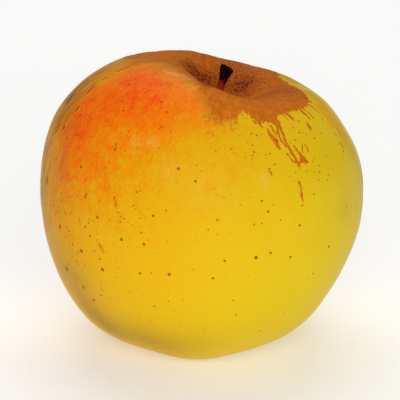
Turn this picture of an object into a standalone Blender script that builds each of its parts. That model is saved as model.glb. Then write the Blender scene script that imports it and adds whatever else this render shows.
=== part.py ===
"""A whole yellow dessert apple with a warm blush, standing upright on its base.

Units are metres and +Z is up. The origin is the middle of the underside of the apple's box.
The fruit is one round solid: a meridian curve with soft ribs, a few broad swellings, the
cavity round the stalk, the basin round the calyx, and a crown that leans to one side.
The stalk stands in the cavity and the withered calyx hangs in the basin. Each keeps a small
gap to the flesh.
"""
import math

import bmesh
import bpy
from mathutils import Vector

MM = 0.001
COLLECTION = "apple"

# The fruit's meridian, measured from the middle of its widest section.
WIDEST_RADIUS = 40.3 * MM
CROWN_HEIGHT = 34.0 * MM
BASE_DEPTH = 42.0 * MM
CROWN_FULLNESS = 0.048
BASE_FULLNESS = 0.034
SEGMENTS_ROUND = 72
SEGMENTS_DOWN = 56
POLE_CROWDING = 0.5

# The crown is higher on the -X side, and its middle is carried over towards +X.
CROWN_TILT = 0.354
TILT_ONSET = 3.4
CROWN_OVERHANG = 8.5 * MM
OVERHANG_POWER = 1.7

# How far the cosine of the polar angle goes before the crown's or base's relief is full.
RELIEF_ONSET = 0.5

# The cavity round the stalk: a wide funnel, a narrow pit at its bottom and a level seat.
FUNNEL_DEPTH = 11.3 * MM
FUNNEL_REACH = 10.5 * MM
FUNNEL_SHARPNESS = 1.89
PIT_DEPTH = 3.4 * MM
PIT_REACH = 4.5 * MM
SEAT_RADIUS = 1.8 * MM

# Five lobes: low ribs on the rim and on the lower flank, and five feet round the basin.
LOBES = 5
LOBE_AZIMUTH = math.radians(-93.0)
RIM_RIB_HEIGHT = 0.37 * MM
RIM_RIB_RADIUS = 16.0 * MM
RIM_RIB_REACH = 7.0 * MM
FLANK_RIB_SHARE = 0.011
FLANK_RIB_POLAR = math.radians(138.0)
FLANK_RIB_REACH = 0.5
FOOT_HEIGHT = 0.4 * MM
FOOT_RADIUS = 14.0 * MM
FOOT_REACH = 6.0 * MM
FOOT_FLAT = 0.5 * MM

# One raised fold on the rim, left of the front.
FOLD_AZIMUTH = math.radians(-140.0)
FOLD_HALF_ANGLE = 0.45
FOLD_HEIGHT = 1.2 * MM
FOLD_RADIUS = 12.0 * MM
FOLD_REACH = 6.0 * MM

# The basin round the calyx.
BASIN_DEPTH = 10.0 * MM
BASIN_REACH = 9.3 * MM

# Broad swellings: azimuth and polar angle of the top, angular width, height.
SWELLINGS = (
    (math.radians(178.0), math.radians(65.0), math.radians(14.0), 1.9 * MM),
    (math.radians(2.0), math.radians(24.5), math.radians(14.0), 2.1 * MM),
    (math.radians(190.0), math.radians(138.5), math.radians(14.0), 1.2 * MM),
    (math.radians(-8.0), math.radians(118.0), math.radians(14.0), -0.4 * MM),
    (math.radians(0.0), math.radians(95.0), math.radians(14.0), 0.9 * MM),
    (math.radians(215.0), math.radians(27.0), math.radians(12.0), 1.0 * MM),
)

# The stalk, which leans towards +X.
GAP = 0.3 * MM
STALK_LEAN = math.radians(15.5)
STALK_LENGTH = 13.05 * MM
STALK_NECK_RADIUS = 0.95 * MM
STALK_FOOT_RADIUS = 1.3 * MM
STALK_TOP_RADIUS = 1.5 * MM
STALK_FOOT_REACH = 1.6 * MM
STALK_FLARE_START = 6.5 * MM
STALK_BEND = 0.5 * MM
STALK_POINTS = 14
STALK_CUT_TILT = math.radians(11.5)
STALK_BEVEL_STEPS = 4
SHARP_ANGLE = math.radians(40.0)

# The withered calyx: a shallow cup on the basin's floor whose edge runs out in five teeth.
CALYX_CUP_RADIUS = 2.2 * MM
CALYX_BULGE_RADIUS = 3.6 * MM
CALYX_TIP_RADIUS = 2.7 * MM
CALYX_TOOTH_DEPTH = 3.4 * MM
CALYX_WALL = 0.45 * MM
CALYX_SEGMENTS_ROUND = 40
CALYX_SEGMENTS_OUT = 6
CALYX_CUP_SHARE = 0.4
CALYX_SHORT_SHARE = 0.35
CALYX_WAVE_POWER = 1.5

# Points closer than this are one point, and a cut counts points this near its plane as on it.
WELD = 0.01 * MM
CUT_TOLERANCE = 0.001 * MM

# Finishes: colour as sRGB hex, roughness.
FRUIT_FINISH = ("E6B41C", 0.38)
STALK_FINISH = ("43180F", 0.75)
CALYX_FINISH = ("5A3D22", 0.85)


def smoothstep(value):
    """Rise smoothly from 0 to 1 as the value goes from 0 to 1."""
    clipped = min(max(value, 0.0), 1.0)
    return clipped * clipped * (3.0 - 2.0 * clipped)


def bell(distance, reach, power=2.0):
    """Fall from 1 at no distance to nothing well past the reach."""
    return math.exp(-((abs(distance) / reach) ** power))


def linear_colour(hex_code):
    """Turn an sRGB hex code into linear red, green, blue and alpha."""
    channels = [int(hex_code[i:i + 2], 16) / 255.0 for i in (0, 2, 4)]
    return [c / 12.92 if c <= 0.04045 else ((c + 0.055) / 1.055) ** 2.4 for c in channels] + [1.0]


def blended(crown_value, base_value, polar):
    """Value that turns smoothly from the base's to the crown's over the whole height."""
    side = math.sin(0.5 * math.pi * math.cos(polar))
    return 0.5 * (crown_value + base_value) + 0.5 * (crown_value - base_value) * side


def meridian(polar):
    """Radius and height of the plain turned form, an ellipse made fuller half way up."""
    fullness = blended(CROWN_FULLNESS, BASE_FULLNESS, polar)
    height = blended(CROWN_HEIGHT, BASE_DEPTH, polar)
    across, up = math.sin(polar), math.cos(polar)
    return (
        WIDEST_RADIUS * across * (1.0 + fullness * up ** 2),
        height * up * (1.0 + fullness * across ** 2),
    )


def swelling(polar, azimuth):
    """Outward growth from the broad swellings, each a bell over the angle to its top."""
    growth = 0.0
    for top_azimuth, top_polar, width, height in SWELLINGS:
        across = math.sin(polar) * math.sin(top_polar) * math.cos(azimuth - top_azimuth)
        closeness = math.cos(polar) * math.cos(top_polar) + across
        growth += height * math.exp((closeness - 1.0) / width ** 2)
    return growth


def lobes(azimuth):
    """Wave that is 1 on the five lobes and -1 in the furrows between them."""
    return math.cos(LOBES * (azimuth - LOBE_AZIMUTH))


def crown_relief(radius, azimuth):
    """Change of height on the upper half: cavity down, rim ribs and fold up."""
    past_seat = math.hypot(radius, SEAT_RADIUS) - SEAT_RADIUS
    cavity = FUNNEL_DEPTH * bell(past_seat, FUNNEL_REACH, FUNNEL_SHARPNESS)
    cavity += PIT_DEPTH * bell(past_seat, PIT_REACH)
    ribs = RIM_RIB_HEIGHT * lobes(azimuth) * bell(radius - RIM_RIB_RADIUS, RIM_RIB_REACH)
    turn = math.remainder(azimuth - FOLD_AZIMUTH, 2.0 * math.pi)
    fold = FOLD_HEIGHT * bell(turn, FOLD_HALF_ANGLE) * bell(radius - FOLD_RADIUS, FOLD_REACH)
    return ribs + fold - cavity


def base_relief(radius, azimuth):
    """Change of height on the lower half: basin up, five feet down."""
    basin = BASIN_DEPTH * bell(radius, BASIN_REACH)
    feet = FOOT_HEIGHT * lobes(azimuth) * bell(radius - FOOT_RADIUS, FOOT_REACH)
    return basin - feet


def leaned(x, y, z):
    """Raise the crown on the -X side, lower it on the +X side and carry it over to +X."""
    lift = max(z / CROWN_HEIGHT, 0.0)
    tilt = CROWN_TILT * (1.0 - max(1.0 - lift, 0.0) ** TILT_ONSET)
    carried = CROWN_OVERHANG * lift ** OVERHANG_POWER
    return Vector((x + carried, y, z - z * tilt * x / WIDEST_RADIUS))


def skin_point(row, azimuth):
    """Point on the fruit: row runs from 0 at the cavity's bottom to 1 at the basin's."""
    polar = math.pi * row - POLE_CROWDING * 0.5 * math.sin(2.0 * math.pi * row)
    radius, height = meridian(polar)
    stretch = 1.0 + swelling(polar, azimuth) / math.hypot(radius, height)
    radius, height = radius * stretch, height * stretch
    flank = FLANK_RIB_SHARE * lobes(azimuth) * bell(polar - FLANK_RIB_POLAR, FLANK_RIB_REACH)
    radius *= 1.0 + flank
    height += crown_relief(radius, azimuth) * smoothstep(math.cos(polar) / RELIEF_ONSET)
    height += base_relief(radius, azimuth) * smoothstep(-math.cos(polar) / RELIEF_ONSET)
    return leaned(radius * math.cos(azimuth), radius * math.sin(azimuth), height)


def principled(name, finish):
    """Make a Principled material from a colour and a roughness."""
    colour, roughness = finish
    material = bpy.data.materials.new(name)
    material.use_nodes = True
    shader = material.node_tree.nodes["Principled BSDF"]
    shader.inputs["Base Color"].default_value = linear_colour(colour)
    shader.inputs["Roughness"].default_value = roughness
    shader.inputs["Metallic"].default_value = 0.0
    material.diffuse_color = linear_colour(colour)
    return material


def add_object(name, data, finish, parent):
    """Put mesh or curve data into the scene as a named child of the apple's frame."""
    data.materials.append(principled(name, finish))
    piece = bpy.data.objects.new(name, data)
    bpy.data.collections[COLLECTION].objects.link(piece)
    piece.parent = parent
    return piece


def mesh_from(form, name):
    """Turn a bmesh into a smoothly shaded mesh."""
    mesh = bpy.data.meshes.new(name)
    form.to_mesh(mesh)
    form.free()
    mesh.shade_smooth()
    return mesh


def build_fruit(parent):
    """Shape the fruit from a sphere, flatten its feet and stand the frame on them."""
    form = bmesh.new()
    bmesh.ops.create_uvsphere(
        form, u_segments=SEGMENTS_ROUND, v_segments=SEGMENTS_DOWN, radius=1.0)
    for vertex in form.verts:
        row = math.acos(min(max(vertex.co.z, -1.0), 1.0)) / math.pi
        vertex.co = skin_point(row, math.atan2(vertex.co.y, vertex.co.x))
    floor = min(vertex.co.z for vertex in form.verts) + FOOT_FLAT
    for vertex in form.verts:
        vertex.co.z = max(vertex.co.z, floor)
    across = [vertex.co.x for vertex in form.verts]
    deep = [vertex.co.y for vertex in form.verts]
    parent.location = (
        -0.5 * (min(across) + max(across)),
        -0.5 * (min(deep) + max(deep)),
        -floor,
    )
    bmesh.ops.recalc_face_normals(form, faces=form.faces)
    return add_object("fruit", mesh_from(form, "fruit"), FRUIT_FINISH, parent)


def stalk_radius(along):
    """Radius at a height: widened at the foot, slim at the neck, flared at the top."""
    foot = (STALK_FOOT_RADIUS - STALK_NECK_RADIUS) * bell(along, STALK_FOOT_REACH)
    flare = smoothstep((along - STALK_FLARE_START) / (STALK_LENGTH - STALK_FLARE_START))
    return STALK_NECK_RADIUS + foot + (STALK_TOP_RADIUS - STALK_NECK_RADIUS) * flare


def stalk_frame():
    """Foot and direction of the stalk, which stands on the cavity's seat."""
    seat = skin_point(0.0, 0.0)
    axis = Vector((math.sin(STALK_LEAN), 0.0, math.cos(STALK_LEAN)))
    return seat + GAP * axis, axis


def stalk_curve():
    """Draw the stalk as a round curve whose radius and slight bend follow its height."""
    foot, axis = stalk_frame()
    sideways = Vector((axis.z, 0.0, -axis.x))
    curve = bpy.data.curves.new("stalk", "CURVE")
    curve.dimensions = "3D"
    curve.bevel_depth = 1.0
    curve.bevel_resolution = STALK_BEVEL_STEPS
    curve.use_fill_caps = True
    spline = curve.splines.new("POLY")
    reach = STALK_LENGTH + STALK_TOP_RADIUS
    spline.points.add(STALK_POINTS - 1)
    for index, point in enumerate(spline.points):
        along = reach * index / (STALK_POINTS - 1)
        sag = STALK_BEND * math.sin(math.pi * along / reach)
        point.co = (*(foot + along * axis - sag * sideways), 1.0)
        point.radius = stalk_radius(along)
    return curve


def build_stalk(parent):
    """Make the stalk a mesh and cut its top off at a slant."""
    curve = stalk_curve()
    drawn = bpy.data.objects.new("stalk_curve", curve)
    bpy.context.scene.collection.objects.link(drawn)
    bpy.context.view_layer.update()
    shaped = drawn.evaluated_get(bpy.context.evaluated_depsgraph_get())
    source = bpy.data.meshes.new_from_object(shaped)
    form = bmesh.new()
    form.from_mesh(source)
    bpy.data.objects.remove(drawn)
    bpy.data.curves.remove(curve)
    bpy.data.meshes.remove(source)
    bmesh.ops.remove_doubles(form, verts=form.verts, dist=WELD)

    foot, axis = stalk_frame()
    sideways = Vector((axis.z, 0.0, -axis.x))
    slant = axis * math.cos(STALK_CUT_TILT) + sideways * math.sin(STALK_CUT_TILT)
    cut = bmesh.ops.bisect_plane(
        form, geom=form.verts[:] + form.edges[:] + form.faces[:], dist=CUT_TOLERANCE,
        plane_co=foot + STALK_LENGTH * axis, plane_no=slant, clear_outer=True)
    rim = [item for item in cut["geom_cut"] if isinstance(item, bmesh.types.BMEdge)]
    bmesh.ops.edgeloop_fill(form, edges=rim)
    bmesh.ops.recalc_face_normals(form, faces=form.faces)
    mesh = mesh_from(form, "stalk")
    mesh.set_sharp_from_angle(angle=SHARP_ANGLE)
    return add_object("stalk", mesh, STALK_FINISH, parent)


def calyx_floor(radius):
    """Depth of the calyx's wall below the basin's middle, clear of the basin's floor."""
    return GAP + 0.5 * CALYX_WALL + BASIN_DEPTH * (1.0 - bell(radius, BASIN_REACH))


def calyx_point(out, azimuth):
    """Point on the calyx: out runs from 0 at the middle of the cup to 1 at the edge.

    The cup follows the basin's floor. Past the cup the wall swells outwards and then
    closes in, and its length follows a wave with five teeth.
    """
    if out < CALYX_CUP_SHARE:
        radius = CALYX_CUP_RADIUS * out / CALYX_CUP_SHARE
        below = calyx_floor(radius)
    else:
        along = (out - CALYX_CUP_SHARE) / (1.0 - CALYX_CUP_SHARE)
        wave = abs(math.cos(0.5 * LOBES * (azimuth - LOBE_AZIMUTH))) ** CALYX_WAVE_POWER
        along *= CALYX_SHORT_SHARE + (1.0 - CALYX_SHORT_SHARE) * wave
        straight = CALYX_CUP_RADIUS + (CALYX_TIP_RADIUS - CALYX_CUP_RADIUS) * along
        middle = 0.5 * (CALYX_CUP_RADIUS + CALYX_TIP_RADIUS)
        radius = straight + (CALYX_BULGE_RADIUS - middle) * math.sin(math.pi * along)
        below = calyx_floor(CALYX_CUP_RADIUS) + CALYX_TOOTH_DEPTH * along
    side = Vector((math.cos(azimuth), math.sin(azimuth), 0.0))
    return skin_point(1.0, 0.0) + radius * side - Vector((0.0, 0.0, below))


def build_calyx(parent):
    """Roll a flat grid into the calyx's cup and teeth, and give it its wall."""
    form = bmesh.new()
    bmesh.ops.create_grid(
        form, x_segments=CALYX_SEGMENTS_ROUND, y_segments=CALYX_SEGMENTS_OUT, size=0.5)
    for vertex in form.verts:
        azimuth = 2.0 * math.pi * (vertex.co.x + 0.5)
        vertex.co = calyx_point(min(max(vertex.co.y + 0.5, 0.0), 1.0), azimuth)
    bmesh.ops.remove_doubles(form, verts=form.verts, dist=WELD)
    bmesh.ops.recalc_face_normals(form, faces=form.faces)
    calyx = add_object("dried_calyx", mesh_from(form, "dried_calyx"), CALYX_FINISH, parent)
    wall = calyx.modifiers.new("wall", "SOLIDIFY")
    wall.thickness = CALYX_WALL
    wall.offset = 0.0
    return calyx


def main():
    """Clear the scene and build the apple in its own collection."""
    for item in list(bpy.data.objects):
        bpy.data.objects.remove(item)
    collection = bpy.data.collections.new(COLLECTION)
    bpy.context.scene.collection.children.link(collection)
    frame = bpy.data.objects.new("apple_frame", None)
    collection.objects.link(frame)
    build_fruit(frame)
    build_stalk(frame)
    build_calyx(frame)


main()
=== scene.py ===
"""Looks of a whole yellow dessert apple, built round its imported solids.

Sizes are in millimetres unless a name says otherwise, in the solids' own frame: +Z is up, the
apple stands on z = 0 and the photograph is taken from -Y. Each sub-assembly is a class that
works its surface out with numpy and dresses it with a material made of nodes.
"""
from __future__ import annotations

import logging
import math
from collections.abc import Callable
from copy import copy
from dataclasses import dataclass, field
from enum import Enum
from typing import Any

import bpy
import numpy as np
from numpy.typing import NDArray
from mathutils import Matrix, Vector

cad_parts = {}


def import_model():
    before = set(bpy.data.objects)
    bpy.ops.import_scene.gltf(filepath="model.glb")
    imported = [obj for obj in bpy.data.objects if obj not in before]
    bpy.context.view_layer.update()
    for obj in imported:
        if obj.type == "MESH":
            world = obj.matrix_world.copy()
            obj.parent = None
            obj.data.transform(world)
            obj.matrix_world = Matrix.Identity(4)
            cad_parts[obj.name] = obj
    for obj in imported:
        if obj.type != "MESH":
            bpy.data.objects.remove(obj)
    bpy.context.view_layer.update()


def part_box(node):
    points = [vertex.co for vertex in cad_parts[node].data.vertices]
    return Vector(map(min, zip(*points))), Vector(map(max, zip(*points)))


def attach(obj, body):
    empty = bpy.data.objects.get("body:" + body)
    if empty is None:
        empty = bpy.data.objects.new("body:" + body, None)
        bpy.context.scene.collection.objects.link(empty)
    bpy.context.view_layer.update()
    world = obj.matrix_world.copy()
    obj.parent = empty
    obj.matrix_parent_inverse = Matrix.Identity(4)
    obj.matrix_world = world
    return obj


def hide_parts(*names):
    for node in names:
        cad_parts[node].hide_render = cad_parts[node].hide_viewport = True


Array = NDArray[np.float64]
LOG = logging.getLogger("apple")

MM = 0.001
PICTURE_SIDE = 400.0


def smoothstep(values: Array) -> Array:
    """Rise from 0 to 1 along 3v^2 - 2v^3, flat below 0 and above 1."""
    clipped = np.clip(values, 0.0, 1.0)
    return clipped * clipped * (3.0 - 2.0 * clipped)


def bell(distance: Array, reach: float, power: float = 2.0) -> Array:
    """Fall from 1 as the exponential of minus (distance / reach) to the power."""
    return np.exp(-((np.abs(distance) / reach) ** power))


def wrapped(angle: Array) -> Array:
    """Bring angles in radians between minus pi and pi."""
    return np.mod(angle + np.pi, 2.0 * np.pi) - np.pi


def unit(vectors: Array) -> Array:
    """Scale vectors to length 1."""
    return vectors / np.linalg.norm(vectors, axis=-1, keepdims=True)


@dataclass(frozen=True)
class Ripple:
    """Soft random unevenness: its height, the distance between crests, and its seed."""

    height: float
    wavelength: float
    seed: int
    waves: int = 9

    def at(self, points: Array) -> Array:
        """Height at each point.

        It is a sum of plane sine waves of one wavelength, each with a random direction and
        phase, scaled so that its spread stays the same for any number of waves.

        Args:
            points: Places in millimetres, with the coordinates last.

        Returns:
            One value for each point, mostly between minus the height and the height.
        """
        draw = np.random.default_rng(self.seed)
        directions = unit(draw.normal(size=(self.waves, 3)))
        phases = draw.uniform(0.0, 2.0 * np.pi, self.waves)
        turns = 2.0 * np.pi / self.wavelength * points @ directions.T + phases
        return self.height * np.sin(turns).sum(axis=-1) / math.sqrt(self.waves)


def linear_colour(hex_code: str) -> tuple[float, float, float, float]:
    """Turn an sRGB hex code into linear red, green, blue and a full alpha."""
    values = np.array([int(hex_code[start:start + 2], 16) for start in (0, 2, 4)]) / 255.0
    lit = np.where(values <= 0.04045, values / 12.92, ((values + 0.055) / 1.055) ** 2.4)
    return (float(lit[0]), float(lit[1]), float(lit[2]), 1.0)


def with_ends(grid: Array) -> Array:
    """Flatten a grid of rings, with the mean of the first and the last ring put at its ends."""
    whole = grid.reshape(-1, *grid.shape[2:])
    return np.concatenate([grid[:1].mean(axis=1), whole, grid[-1:].mean(axis=1)])


@dataclass
class Shell:
    """A closed surface with its points in millimetres and its quads and triangles."""

    points: Array
    quads: NDArray[np.int64]
    triangles: NDArray[np.int64]

    @classmethod
    def from_rings(cls, rings: Array) -> Shell:
        """Close a grid of rings with one point in the middle of each end, its faces outwards.

        Args:
            rings: Points as rows of rings, each ring going once round.

        Returns:
            The shell, turned inside out if its signed volume came out negative.
        """
        rows, spokes = rings.shape[:2]
        points = with_ends(rings)
        ring = 1 + np.arange(rows * spokes).reshape(rows, spokes)
        beside = np.roll(ring, -1, axis=1)
        quads = np.stack([ring[:-1], ring[1:], beside[1:], beside[:-1]], axis=-1).reshape(-1, 4)
        start = np.stack([np.zeros(spokes, int), ring[0], beside[0]], axis=-1)
        end = np.stack([np.full(spokes, len(points) - 1), beside[-1], ring[-1]], axis=-1)
        shell = cls(points, quads, np.concatenate([start, end]))
        return shell if shell.volume() > 0.0 else cls(points, quads[:, ::-1], shell.triangles[:, ::-1])

    def volume(self) -> float:
        """Signed volume: a sixth of the sum of each triangle's triple product."""
        halves = np.concatenate([self.quads[:, [0, 1, 2]], self.quads[:, [0, 2, 3]], self.triangles])
        a, b, c = (self.points[halves[:, corner]] for corner in range(3))
        return float(np.einsum("ij,ij->", a, np.cross(b, c)) / 6.0)

    @staticmethod
    def joined(shells: list[Shell]) -> Shell:
        """Put several shells into one, with each one's faces counted on from the last."""
        starts = np.cumsum([0] + [len(shell.points) for shell in shells[:-1]])
        return Shell(
            np.concatenate([shell.points for shell in shells]),
            np.concatenate([shell.quads + start for shell, start in zip(shells, starts)]),
            np.concatenate([shell.triangles + start for shell, start in zip(shells, starts)]),
        )

    def to_object(self, name: str, fields: dict[str, Array]) -> bpy.types.Object:
        """Make a smooth mesh object at the origin, with point attributes for its material.

        Args:
            name: Name of the mesh and the object.
            fields: Point attributes by name: one number, or three, for each point.

        Returns:
            The new object, linked to the scene.
        """
        mesh = bpy.data.meshes.new(name)
        mesh.from_pydata((self.points * MM).tolist(), [], self.quads.tolist() + self.triangles.tolist())
        for title, values in fields.items():
            one = values.ndim == 1
            attribute = mesh.attributes.new(title, "FLOAT" if one else "FLOAT_VECTOR", "POINT")
            attribute.data.foreach_set("value" if one else "vector", values.astype(np.float32).ravel())
        mesh.update()
        mesh.shade_smooth()
        piece = bpy.data.objects.new(name, mesh)
        bpy.context.scene.collection.objects.link(piece)
        return piece


class Graph:
    """Builds one material's node tree round its Principled shader."""

    def __init__(self, name: str) -> None:
        """Start a material with only its Principled shader and output."""
        self.material = bpy.data.materials.new(name)
        self.material.use_nodes = True
        self.tree = self.material.node_tree
        self.shader = self.tree.nodes["Principled BSDF"]

    def add(self, kind: str, feeds: dict[str | int, Any], output: str | int = 0, **settings: Any) -> Any:
        """Add a node with its settings, feed its inputs, and hand back one of its outputs.

        Args:
            kind: The node's type, without its ShaderNode prefix.
            feeds: Inputs by name or place, each fed by a socket or set to a value.
            output: Name or place of the output that is wanted.
            **settings: Properties of the node.

        Returns:
            The output socket.
        """
        node = self.tree.nodes.new("ShaderNode" + kind)
        for title, value in settings.items():
            setattr(node, title, value)
        self.feed(node, feeds)
        return node.outputs[output]

    def feed(self, node: bpy.types.Node, feeds: dict[str | int, Any]) -> None:
        """Link or set a node's inputs."""
        for slot, value in feeds.items():
            if isinstance(value, bpy.types.NodeSocket):
                self.tree.links.new(value, node.inputs[slot])
            else:
                node.inputs[slot].default_value = value

    def grouped(self, name: str, place: Any, build: Callable[[Graph, Any], Any]) -> Any:
        """Build nodes in a group of their own, because a long tree is slow to add to.

        Args:
            name: The group's name.
            place: Socket that feeds the group.
            build: Adds the nodes to the graph it is given, from a place to a number.

        Returns:
            The group's output socket.
        """
        inner = copy(self)
        inner.tree = bpy.data.node_groups.new(name, "ShaderNodeTree")
        inner.tree.interface.new_socket("Place", in_out="INPUT", socket_type="NodeSocketVector")
        inner.tree.interface.new_socket("Value", in_out="OUTPUT", socket_type="NodeSocketFloat")
        start, end = inner.tree.nodes.new("NodeGroupInput"), inner.tree.nodes.new("NodeGroupOutput")
        inner.tree.links.new(build(inner, start.outputs[0]), end.inputs[0])
        return self.add("Group", {0: place}, node_tree=inner.tree)

    def noise(self, place: Any, size: float, detail: float = 2.0, along: float | None = None) -> Any:
        """Soft noise of about 0.3 to 0.7 whose blots are a given size.

        Args:
            place: Socket with the place in millimetres.
            size: Distance between blots, in millimetres.
            detail: How many finer octaves are added.
            along: Distance between blots along the third axis, where it differs.

        Returns:
            The noise's value socket.
        """
        squeeze = (1.0 / size, 1.0 / size, 1.0 / (along or size))
        scaled = self.add("VectorMath", {0: place, 1: squeeze}, operation="MULTIPLY")
        return self.add("TexNoise", {"Vector": scaled, "Scale": 1.0, "Detail": detail})

    def between(self, value: Any, low: float, high: float, start: float = 0.0, end: float = 1.0) -> Any:
        """Smooth step of a value between two limits, onto start to end."""
        feeds = {"Value": value, 1: low, 2: high, 3: start, 4: end}
        return self.add("MapRange", feeds, interpolation_type="SMOOTHSTEP")

    def tinted(self, base: Any, over: Any, share: Any) -> Any:
        """Lay one colour over another by a share. Each is a socket or a hex code."""
        base, over = (linear_colour(tone) if isinstance(tone, str) else tone for tone in (base, over))
        return self.add("Mix", {0: share, 6: base, 7: over}, output=2, data_type="RGBA")

    def math(self, operation: str, *values: Any) -> Any:
        """Work out one operation on two or three numbers or sockets."""
        return self.add("Math", dict(enumerate(values)), operation=operation)

    def field(self, title: str, output: str = "Fac") -> Any:
        """Socket of one of the mesh's own point attributes."""
        return self.add("Attribute", {}, output, attribute_name=title)

    def centred(self, noise: Any, height: float) -> Any:
        """Swing noise about 0 instead of 0.5, as high as is asked."""
        return self.math("MULTIPLY_ADD", noise, height, -0.5 * height)

    def apart(self, first: Any, second: Any) -> Any:
        """Distance between two places."""
        return self.add("VectorMath", {0: first, 1: second}, "Value", operation="DISTANCE")

    def place(self) -> Any:
        """Socket with the place in the solids' frame, in millimetres."""
        metres = self.add("TexCoord", {}, "Object")
        return self.add("VectorMath", {0: metres, "Scale": 1.0 / MM}, operation="SCALE")


@dataclass(frozen=True)
class Viewpoint:
    """Where the photograph was taken from, and its framing.

    The scale is the pixels for each millimetre in the plane of the fruit's widest section.
    """

    elevation: float = 18.5
    distance: float = 600.0
    scale: float = 3.943
    sensor: float = 36.0
    widest_across: float = 200.7
    widest_down: float = 192.4

    def axes(self) -> tuple[Array, Array, Array]:
        """Unit vectors to the picture's right, to its top and into the picture."""
        tilt = math.radians(self.elevation)
        right = np.array([1.0, 0.0, 0.0])
        up = np.array([0.0, math.sin(tilt), math.cos(tilt)])
        return right, up, np.array([0.0, math.cos(tilt), -math.sin(tilt)])

    def eye(self, widest: Array) -> Array:
        """Camera's place, so that the middle of the widest section falls on its pixel."""
        right, up, ahead = self.axes()
        aside = (PICTURE_SIDE / 2.0 - self.widest_across) / self.scale
        above = (self.widest_down - PICTURE_SIDE / 2.0) / self.scale
        return widest + aside * right + above * up - self.distance * ahead

    def project(self, points: Array, widest: Array) -> Array:
        """Pixels of points: offsets across the view over their depth, times the focal length."""
        right, up, ahead = self.axes()
        away = points - self.eye(widest)
        enlarged = self.distance * self.scale / (away @ ahead)
        middle = PICTURE_SIDE / 2.0
        return np.stack([middle + enlarged * (away @ right), middle - enlarged * (away @ up)], axis=-1)

    def place(self, widest: Array) -> None:
        """Make the scene's camera, level across and looking down by the elevation."""
        lens = bpy.data.cameras.new("photo_camera")
        lens.sensor_width = self.sensor
        lens.lens = self.sensor * self.distance * self.scale / PICTURE_SIDE
        lens.clip_start, lens.clip_end = 0.05, 20.0
        camera = bpy.data.objects.new("photo_camera", lens)
        camera.location = self.eye(widest) * MM
        camera.rotation_euler = (math.radians(90.0 - self.elevation), 0.0, 0.0)
        bpy.context.scene.collection.objects.link(camera)
        bpy.context.scene.camera = camera


@dataclass(frozen=True)
class Swelling:
    """A broad bump: direction of its top, its angular width in degrees and its height."""

    azimuth: float
    polar: float
    width: float
    height: float


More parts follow.
